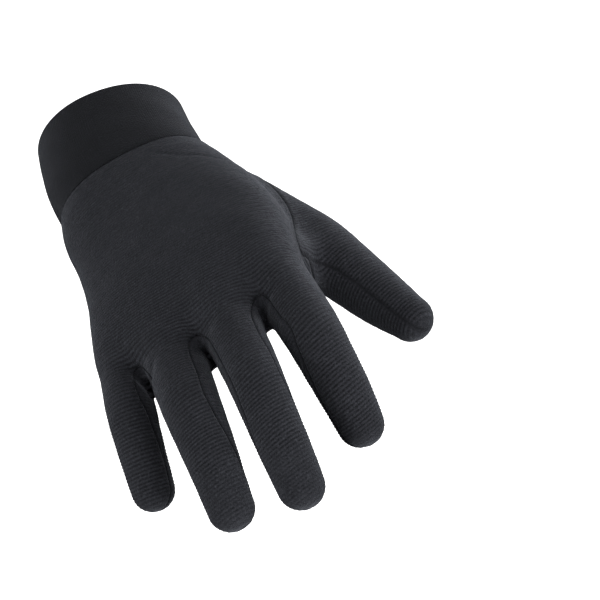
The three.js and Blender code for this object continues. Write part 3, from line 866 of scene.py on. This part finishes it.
def add_node(tree, kind, settings, sockets):
    """A new node, with its settings made first and then its sockets' values and links."""
    made = tree.nodes.new(kind)
    for key, value in settings.items():
        setattr(made, key, value)
    for key, value in sockets.items():
        if isinstance(value, bpy.types.NodeSocket):
            tree.links.new(value, made.inputs[key])
        else:
            made.inputs[key].default_value = value
    return made


class Value:
    """A number in a finish that can be added, multiplied and so on."""

    def __init__(self, finish, socket):
        self.finish, self.socket = finish, socket

    def _math(self, operation, a, b=0.0):
        return self.finish.node("ShaderNodeMath", {"operation": operation}, {0: a, 1: b})

    def __add__(self, other):
        return self._math("ADD", self, other)

    __radd__ = __add__

    def __sub__(self, other):
        return self._math("SUBTRACT", self, other)

    def __rsub__(self, other):
        return self._math("SUBTRACT", other, self)

    def __mul__(self, other):
        return self._math("MULTIPLY", self, other)

    __rmul__ = __mul__

    def wave(self):
        """A wave from 0 to 1 that is at its top at each whole number."""
        return self._math("COSINE", self * (2 * math.pi)) * 0.5 + 0.5

    def at_least(self, other):
        return self._math("MAXIMUM", self, other)


class Finish:
    """One material and its nodes."""

    def __init__(self, name):
        self.material = bpy.data.materials.new(name)
        self.material.use_nodes = True
        self.material.node_tree.nodes.clear()

    def node(self, kind, settings, sockets, output=0):
        sockets = {key: getattr(value, "socket", value) for key, value in sockets.items()}
        return Value(self, add_node(self.material.node_tree, kind, settings, sockets).outputs[output])

    def attribute(self, name):
        return self.node("ShaderNodeAttribute", {"attribute_name": name}, {}, "Fac")

    def noise(self, size, detail=2.0, roughness=0.5):
        """Noise with patches about size metres across."""
        place = self.node("ShaderNodeTexCoord", {}, {}, "Object")
        sockets = {"Vector": place, "Scale": 1 / size, "Detail": detail, "Roughness": roughness}
        return self.node("ShaderNodeTexNoise", {"normalize": True}, sockets)

    def mix(self, share, first, second):
        sockets = {"Factor": share, 6: first, 7: second}
        return self.node("ShaderNodeMix", {"data_type": "RGBA", "clamp_factor": True}, sockets, 2)

    def bump(self, height, distance, strength=1.0):
        sockets = {"Height": height, "Distance": distance, "Strength": strength}
        return self.node("ShaderNodeBump", {}, sockets, "Normal")

    def finished(self, sockets):
        """The material, whose shader has these sockets set."""
        shader = self.node("ShaderNodeBsdfPrincipled", {}, sockets)
        add_node(self.material.node_tree, "ShaderNodeOutputMaterial", {}, {"Surface": shader.socket})
        return self.material

    def cloth(self, color, roughness, normal, sheen, tint):
        return self.finished({"Base Color": color, "Roughness": roughness, "Normal": normal,
                              "Specular IOR Level": 0.1, "Sheen Weight": sheen, "Sheen Roughness": 0.45,
                              "Sheen Tint": tint})


def rgba(color, factor=1.0):
    return tuple(c * factor for c in color[:3]) + (1.0,)


def ribbed_finish(name, colours):
    finish = Finish(name)
    grain = (finish.noise(0.0006, 3.0, 0.6) - 0.5) * 2.4 + 0.5
    patches = finish.noise(0.012, 3.0, 0.55)
    specks = (finish.noise(0.0011, 1.0, 0.5) - 0.55).at_least(0.0) * 3.0
    strength = finish.attribute("rib_strength")
    # Painted shade: the knit is darker in the valleys between its ribs, where the rib wave is low, and less
    # so where the ribs fade out.
    depth = finish.attribute("rib").wave() * strength + (1 - strength) * 0.6
    light = depth * 0.5 + grain * 0.6 + patches * 0.25 + specks * 0.6 - 0.32
    # Painted shade: the knit is darkened close to the seams, along their grooves.
    light = light * (1 - finish.attribute("seam") * 0.7)
    color = finish.mix(light, rgba(colours.knit_dark), rgba(colours.knit_light))
    height = grain * 0.7 + finish.noise(0.0004, 1.0, 0.5) * 0.5
    return finish.cloth(color, 0.92, finish.bump(height, 0.00023), 0.16, rgba(colours.bloom))


def smooth_finish(name, colours):
    finish = Finish(name)
    grain = (finish.noise(0.0007, 3.0, 0.6) - 0.5) * 2.0 + 0.5
    patches = finish.noise(0.02, 2.0, 0.5)
    wale = finish.attribute("wale").wave()
    light = grain * 0.7 + patches * 0.3 + wale * 0.12 - 0.15
    color = finish.mix(light, rgba(colours.cuff_dark), rgba(colours.cuff_light))
    normal = finish.bump(grain * 0.8 + wale * 0.3, 0.0002)
    return finish.cloth(color, 0.92, normal, 0.12, rgba(colours.bloom))


def thread_finish(name, colours):
    finish = Finish(name)
    twist = finish.noise(0.0003, 2.0, 0.5)
    color = finish.mix(twist, rgba(colours.thread, 0.7), rgba(colours.thread, 1.5))
    return finish.cloth(color, 0.8 - twist * 0.2, finish.bump(twist, 0.0001, 0.6), 0.1, rgba(colours.bloom))


def floor_finish(name, colours):
    finish = Finish(name)
    shade = finish.noise(0.4) * 0.02
    color = finish.mix(shade, rgba(colours.ground), rgba(colours.ground, 0.97))
    return finish.finished({"Base Color": color, "Roughness": 0.9, "Emission Color": color,
                            "Emission Strength": 1.1})


# Stitches


def stitch_tree():
    """Geometry nodes that lay small stitches along a seam's line."""
    tree = bpy.data.node_groups.new("seam_stitches", "GeometryNodeTree")
    face = tree.interface
    face.new_socket("Geometry", in_out="INPUT", socket_type="NodeSocketGeometry")
    for name in ("Spacing", "Length", "Thickness", "Turn", "Lift"):
        face.new_socket(name, in_out="INPUT", socket_type="NodeSocketFloat")
    face.new_socket("Seed", in_out="INPUT", socket_type="NodeSocketInt")
    face.new_socket("Thread", in_out="INPUT", socket_type="NodeSocketMaterial")
    face.new_socket("Geometry", in_out="OUTPUT", socket_type="NodeSocketGeometry")
    given = tree.nodes.new("NodeGroupInput").outputs

    def node(kind, settings=None, sockets=None, output=0):
        made = add_node(tree, kind, settings or {}, sockets or {})
        return made if output is None else made.outputs[output]

    up = node("GeometryNodeInputNamedAttribute", {"data_type": "FLOAT_VECTOR"}, {"Name": "up"}, "Attribute")
    curve = node("GeometryNodeMeshToCurve", {}, {"Mesh": given["Geometry"]})
    spaced = node("GeometryNodeResampleCurve", {"mode": "LENGTH"},
                  {"Curve": curve, "Length": given["Spacing"]})
    offset = node("ShaderNodeVectorMath", {"operation": "SCALE"}, {0: up, "Scale": given["Lift"]})
    lifted = node("GeometryNodeSetPosition", {}, {"Geometry": spaced, "Offset": offset})
    tangent = node("GeometryNodeInputTangent")
    facing = node("FunctionNodeAlignRotationToVector", {"axis": "X"}, {"Vector": tangent})
    facing = node("FunctionNodeAlignRotationToVector", {"axis": "Z", "pivot_axis": "X"},
                  {"Rotation": facing, "Vector": up})
    wobble = node("FunctionNodeRandomValue", {"data_type": "FLOAT"},
                  {2: -0.16, 3: 0.16, "Seed": given["Seed"]}, 1)
    angle = node("ShaderNodeMath", {"operation": "ADD"}, {0: given["Turn"], 1: wobble})
    turn = node("FunctionNodeAxisAngleToRotation", {}, {"Axis": (0, 0, 1), "Angle": angle})
    facing = node("FunctionNodeRotateRotation", {"rotation_space": "LOCAL"}, {0: facing, 1: turn})
    size = node("ShaderNodeCombineXYZ", {},
                {0: given["Length"], 1: given["Thickness"], 2: given["Thickness"]})
    grain = node("GeometryNodeMeshUVSphere", {}, {"Segments": 6, "Rings": 5, "Radius": 0.5})
    laid = node("GeometryNodeInstanceOnPoints", {},
                {"Points": lifted, "Instance": grain, "Rotation": facing, "Scale": size})
    real = node("GeometryNodeRealizeInstances", {}, {"Geometry": laid})
    smooth = node("GeometryNodeSetShadeSmooth", {}, {"Geometry": real})
    done = node("GeometryNodeSetMaterial", {}, {"Geometry": smooth, "Material": given["Thread"]})
    node("NodeGroupOutput", {}, {"Geometry": done}, None)
    return tree


def stitched(name, lines, values, tree):
    """One mesh of stitches along all of a seam's lines, from the stitch nodes."""
    mesh = bpy.data.meshes.new(name)
    points, edges, ups = [], [], []
    for line in lines:
        line, way = settled(smooth_line(line, 1))
        start = len(points)
        points += (line * 0.001).tolist()
        ups += way.tolist()
        edges += [(start + i, start + i + 1) for i in range(len(line) - 1)]
    mesh.from_pydata(points, edges, [])
    up = mesh.attributes.new("up", "FLOAT_VECTOR", "POINT")
    up.data.foreach_set("vector", np.array(ups, np.float32).ravel())
    path = placed(name + "_path", mesh)
    modifier = path.modifiers.new("stitches", "NODES")
    modifier.node_group = tree
    sockets = {item.name: item.identifier for item in tree.interface.items_tree if item.in_out == "INPUT"}
    for key, value in values.items():
        modifier[sockets[key]] = value
    ready = path.evaluated_get(bpy.context.evaluated_depsgraph_get())
    made = bpy.data.meshes.new_from_object(ready)
    made.name = name
    path.modifiers.clear()
    bpy.data.objects.remove(path)
    bpy.data.meshes.remove(mesh)
    if not len(made.polygons):
        raise RuntimeError(f"{name} has no stitches")
    return placed(name, made)


# Sizes, colours and steps


def length(name, description, default):
    return FloatProperty(name=name, description=description, default=default, unit="LENGTH")


def colour(name, description, default):
    return FloatVectorProperty(name=name, description=description, default=default, subtype="COLOR")


class GloveSizes(bpy.types.PropertyGroup):
    """Sizes of the knit and of its seams."""

    rib_pitch: length("Rib Pitch", "From one rib of the knit to the next", 0.0014)
    rib_depth: length("Rib Depth", "How far a rib stands above the middle of the cloth", 0.00011)
    net_size: length("Net Size", "Size of the faces before the ribs are cut in", 0.00246)
    seam_gap: length("Seam Gap", "Between the edges of two sewn pieces", 0.00024)
    seam_depth: length("Seam Depth", "How far a seam is drawn in", 0.0003)
    seam_width: length("Seam Width", "How far a seam's groove reaches to each side", 0.00055)
    stitch_spacing: length("Stitch Spacing", "From one stitch to the next along a seam", 0.0016)
    stitch_length: length("Stitch Length", "Length of one stitch", 0.001)
    stitch_thickness: length("Stitch Thickness", "Thickness of the thread", 0.00024)
    stitch_turn: FloatProperty(name="Stitch Turn", description="How far a stitch lies across its seam",
                               default=math.radians(78), subtype="ANGLE")
    stitch_seed: IntProperty(name="Stitch Seed", description="Start of the stitches' small turns", default=7)


class GloveColours(bpy.types.PropertyGroup):
    """Colours of the knit, the thread and the ground."""

    # The dark knit colour also carries painted shade, in the rib valleys and along the seam grooves.
    knit_dark: colour("Knit, Dark", "The ribbed knit between its loops", (0.003, 0.0032, 0.0042))
    knit_light: colour("Knit, Light", "The ribbed knit on its loops", (0.029, 0.0302, 0.036))
    cuff_dark: colour("Cuff, Dark", "The smooth knit between its loops", (0.0008, 0.0009, 0.0012))
    cuff_light: colour("Cuff, Light", "The smooth knit on its loops", (0.0092, 0.0097, 0.012))
    bloom: colour("Bloom", "Tint of the fine fibres at the edges", (0.80, 0.84, 0.95))
    thread: colour("Thread", "The sewing thread", (0.008, 0.0083, 0.010))
    ground: colour("Ground", "The floor", (0.93, 0.93, 0.93))


def add_piece(context, name):
    """The look of one piece, in place of its solid."""
    sizes, colours = context.scene.glove_sizes, context.scene.glove_colours
    if name == "cuff":
        mesh, slot, make = cuff_mesh(), "smooth_knit", smooth_finish
    else:
        mesh, slot, make = made_once("hand", Sewn, sizes).shell(name), "ribbed_knit", ribbed_finish
    thing = add_object(name + "_look", *mesh, made_once(slot, make, slot, colours))
    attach(thing, "root")
    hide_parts(name)


class GLOVE_OT_cuff(bpy.types.Operator):
    """Makes the smooth doubled cuff"""

    bl_idname = "glove.cuff"
    bl_label = "Cuff"

    def execute(self, context):
        add_piece(context, "cuff")
        return {"FINISHED"}


class GLOVE_OT_hand(bpy.types.Operator):
    """Makes the ribbed back and palm with the fronts and backs of the fingers"""

    bl_idname = "glove.hand"
    bl_label = "Back and Palm"

    def execute(self, context):
        add_piece(context, "back_panel")
        add_piece(context, "palm_panel")
        return {"FINISHED"}


class GLOVE_OT_thumb(bpy.types.Operator):
    """Makes the set-in thumb"""

    bl_idname = "glove.thumb"
    bl_label = "Thumb"

    def execute(self, context):
        add_piece(context, "thumb")
        return {"FINISHED"}


class GLOVE_OT_side_strips(bpy.types.Operator):
    """Makes the strips sewn between the fingers"""

    bl_idname = "glove.side_strips"
    bl_label = "Side Strips"

    def execute(self, context):
        for fingers in itertools.pairwise(FINGERS):
            add_piece(context, "side_strip_" + "_".join(fingers))
        return {"FINISHED"}


class GLOVE_OT_stitches(bpy.types.Operator):
    """Sews the seams with small stitches"""

    bl_idname = "glove.stitches"
    bl_label = "Seam Stitches"

    def execute(self, context):
        sizes = context.scene.glove_sizes
        tree = stitch_tree()
        values = {
            "Spacing": sizes.stitch_spacing,
            "Length": sizes.stitch_length,
            "Thickness": sizes.stitch_thickness,
            "Turn": sizes.stitch_turn,
            "Lift": -0.8 * sizes.seam_depth,
            "Seed": sizes.stitch_seed,
            "Thread": thread_finish("seam_thread", context.scene.glove_colours),
        }
        for name, lines in made_once("hand", Sewn, sizes).lines.items():
            thing = stitched("stitches_" + name, lines, values, tree)
            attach(thing, "root")
        return {"FINISHED"}


# How the picture shows the glove: the camera's turns in degrees, its distance from the rim's middle
# and that point's place in a picture of WIDE x WIDE pixels, where focal is in pixels too.
WIDE = 600
CAMERA = {"turn": -5.16, "rise": 37.6, "roll": 19.32, "distance": 950.0, "focal": 2375.0,
          "aim": (15.0, -130.0, -10.0), "pixel": (112.0, 136.0)}
SENSOR = 36
# name, place, power
LIGHTS = [
    ("right", (0.9, -0.9, 0.0), 19.5),
    ("right_back", (1.1, 0.45, 0.05), 6.5),
    ("left", (-0.9, -0.8, 0.1), 14.5),
    ("front", (0.4, -1.1, 0.3), 4.5),
    ("top", (0.0, 0.2, 1.2), 8.0),
]
LIGHT_SIZE = 0.8
LIGHT_AIM = (0.015, -0.13, -0.01)
FLOOR = (6000, -420)  # half its width, and how far below the rim's middle it lies


def camera_place():
    """The camera's right, its up, its back and its place in metres."""
    turn, rise, roll = (math.radians(CAMERA[k]) for k in ("turn", "rise", "roll"))
    back = np.array([math.sin(turn) * math.cos(rise), -math.cos(turn) * math.cos(rise), math.sin(rise)])
    level = np.array([math.cos(turn), math.sin(turn), 0.0])
    up = np.cross(back, level)
    right = level * math.cos(roll) - up * math.sin(roll)
    over = level * math.sin(roll) + up * math.cos(roll)
    deep = CAMERA["distance"] + np.dot(CAMERA["aim"], back)
    x, y = ((p - WIDE / 2) * deep / CAMERA["focal"] for p in CAMERA["pixel"])
    return right, over, back, (right * -x + over * y + back * deep) / MM


def turned(right, up, back, place):
    """The matrix of a camera or a light at a place, which looks away from back."""
    rows = np.column_stack([right, up, back, place])
    return Matrix([list(map(float, row)) for row in rows] + [[0, 0, 0, 1]])


class GLOVE_OT_stage(bpy.types.Operator):
    """Adds the pale floor, the soft lights and the camera"""

    bl_idname = "glove.stage"
    bl_label = "Stage"

    def execute(self, context):
        scene = context.scene
        camera = bpy.data.cameras.new("camera")
        camera.sensor_width = SENSOR
        camera.lens = CAMERA["focal"] * SENSOR / WIDE
        camera.clip_start, camera.clip_end = 0.05, 50
        scene.camera = placed("camera", camera)
        scene.camera.matrix_world = turned(*camera_place())
        self.add_floor(scene.glove_colours)
        for light in LIGHTS:
            self.add_light(*light)
        scene.view_settings.view_transform = "Standard"
        scene.world = scene.world or bpy.data.worlds.new("studio")
        scene.world.use_nodes = True
        sky = scene.world.node_tree.nodes["Background"].inputs
        sky["Color"].default_value = (1.0, 1.0, 1.0, 1.0)
        sky["Strength"].default_value = 0.02
        return {"FINISHED"}

    def add_floor(self, colours):
        half, z = FLOOR
        points = np.array([(-half, -half, z), (half, -half, z), (half, half, z), (-half, half, z)], float)
        faces = np.array([(0, 1, 2), (0, 2, 3)])
        floor = add_object("floor", points, faces, {}, floor_finish("pale_floor", colours))
        # Its light would flatten the dark knit.
        floor.visible_diffuse = floor.visible_glossy = False

    def add_light(self, name, place, power):
        light = bpy.data.lights.new(name, "AREA")
        light.size, light.energy = LIGHT_SIZE, power
        back = np.subtract(place, LIGHT_AIM)
        back /= np.linalg.norm(back)
        side = np.cross((0, 0, 1), back)
        side /= np.linalg.norm(side)
        placed(name, light).matrix_world = turned(side, np.cross(back, side), back, place)


class GLOVE_PT_panel(bpy.types.Panel):
    """The glove's sizes, colours and steps"""

    bl_idname = "GLOVE_PT_panel"
    bl_label = "Knitted Glove Liner"
    bl_space_type = "VIEW_3D"
    bl_region_type = "UI"
    bl_category = "Glove"

    def draw(self, context):
        layout = self.layout
        for group in (context.scene.glove_sizes, context.scene.glove_colours):
            for key in group.bl_rna.properties.keys():
                if key not in ("rna_type", "name"):
                    layout.prop(group, key)
        for step in STEPS:
            layout.operator(step.bl_idname)


STEPS = (GLOVE_OT_cuff, GLOVE_OT_hand, GLOVE_OT_thumb, GLOVE_OT_side_strips, GLOVE_OT_stitches,
         GLOVE_OT_stage)
CLASSES = (GloveSizes, GloveColours, *STEPS, GLOVE_PT_panel)


def register():
    for item in CLASSES:
        bpy.utils.register_class(item)
    bpy.types.Scene.glove_sizes = PointerProperty(type=GloveSizes)
    bpy.types.Scene.glove_colours = PointerProperty(type=GloveColours)


def unregister():
    del bpy.types.Scene.glove_sizes
    del bpy.types.Scene.glove_colours
    for item in reversed(CLASSES):
        bpy.utils.unregister_class(item)


def main():
    register()
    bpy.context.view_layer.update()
    bpy.ops.glove.cuff()
    bpy.ops.glove.hand()
    bpy.ops.glove.thumb()
    bpy.ops.glove.side_strips()
    bpy.ops.glove.stitches()
    bpy.ops.glove.stage()


if __name__ == "__main__":
    main()
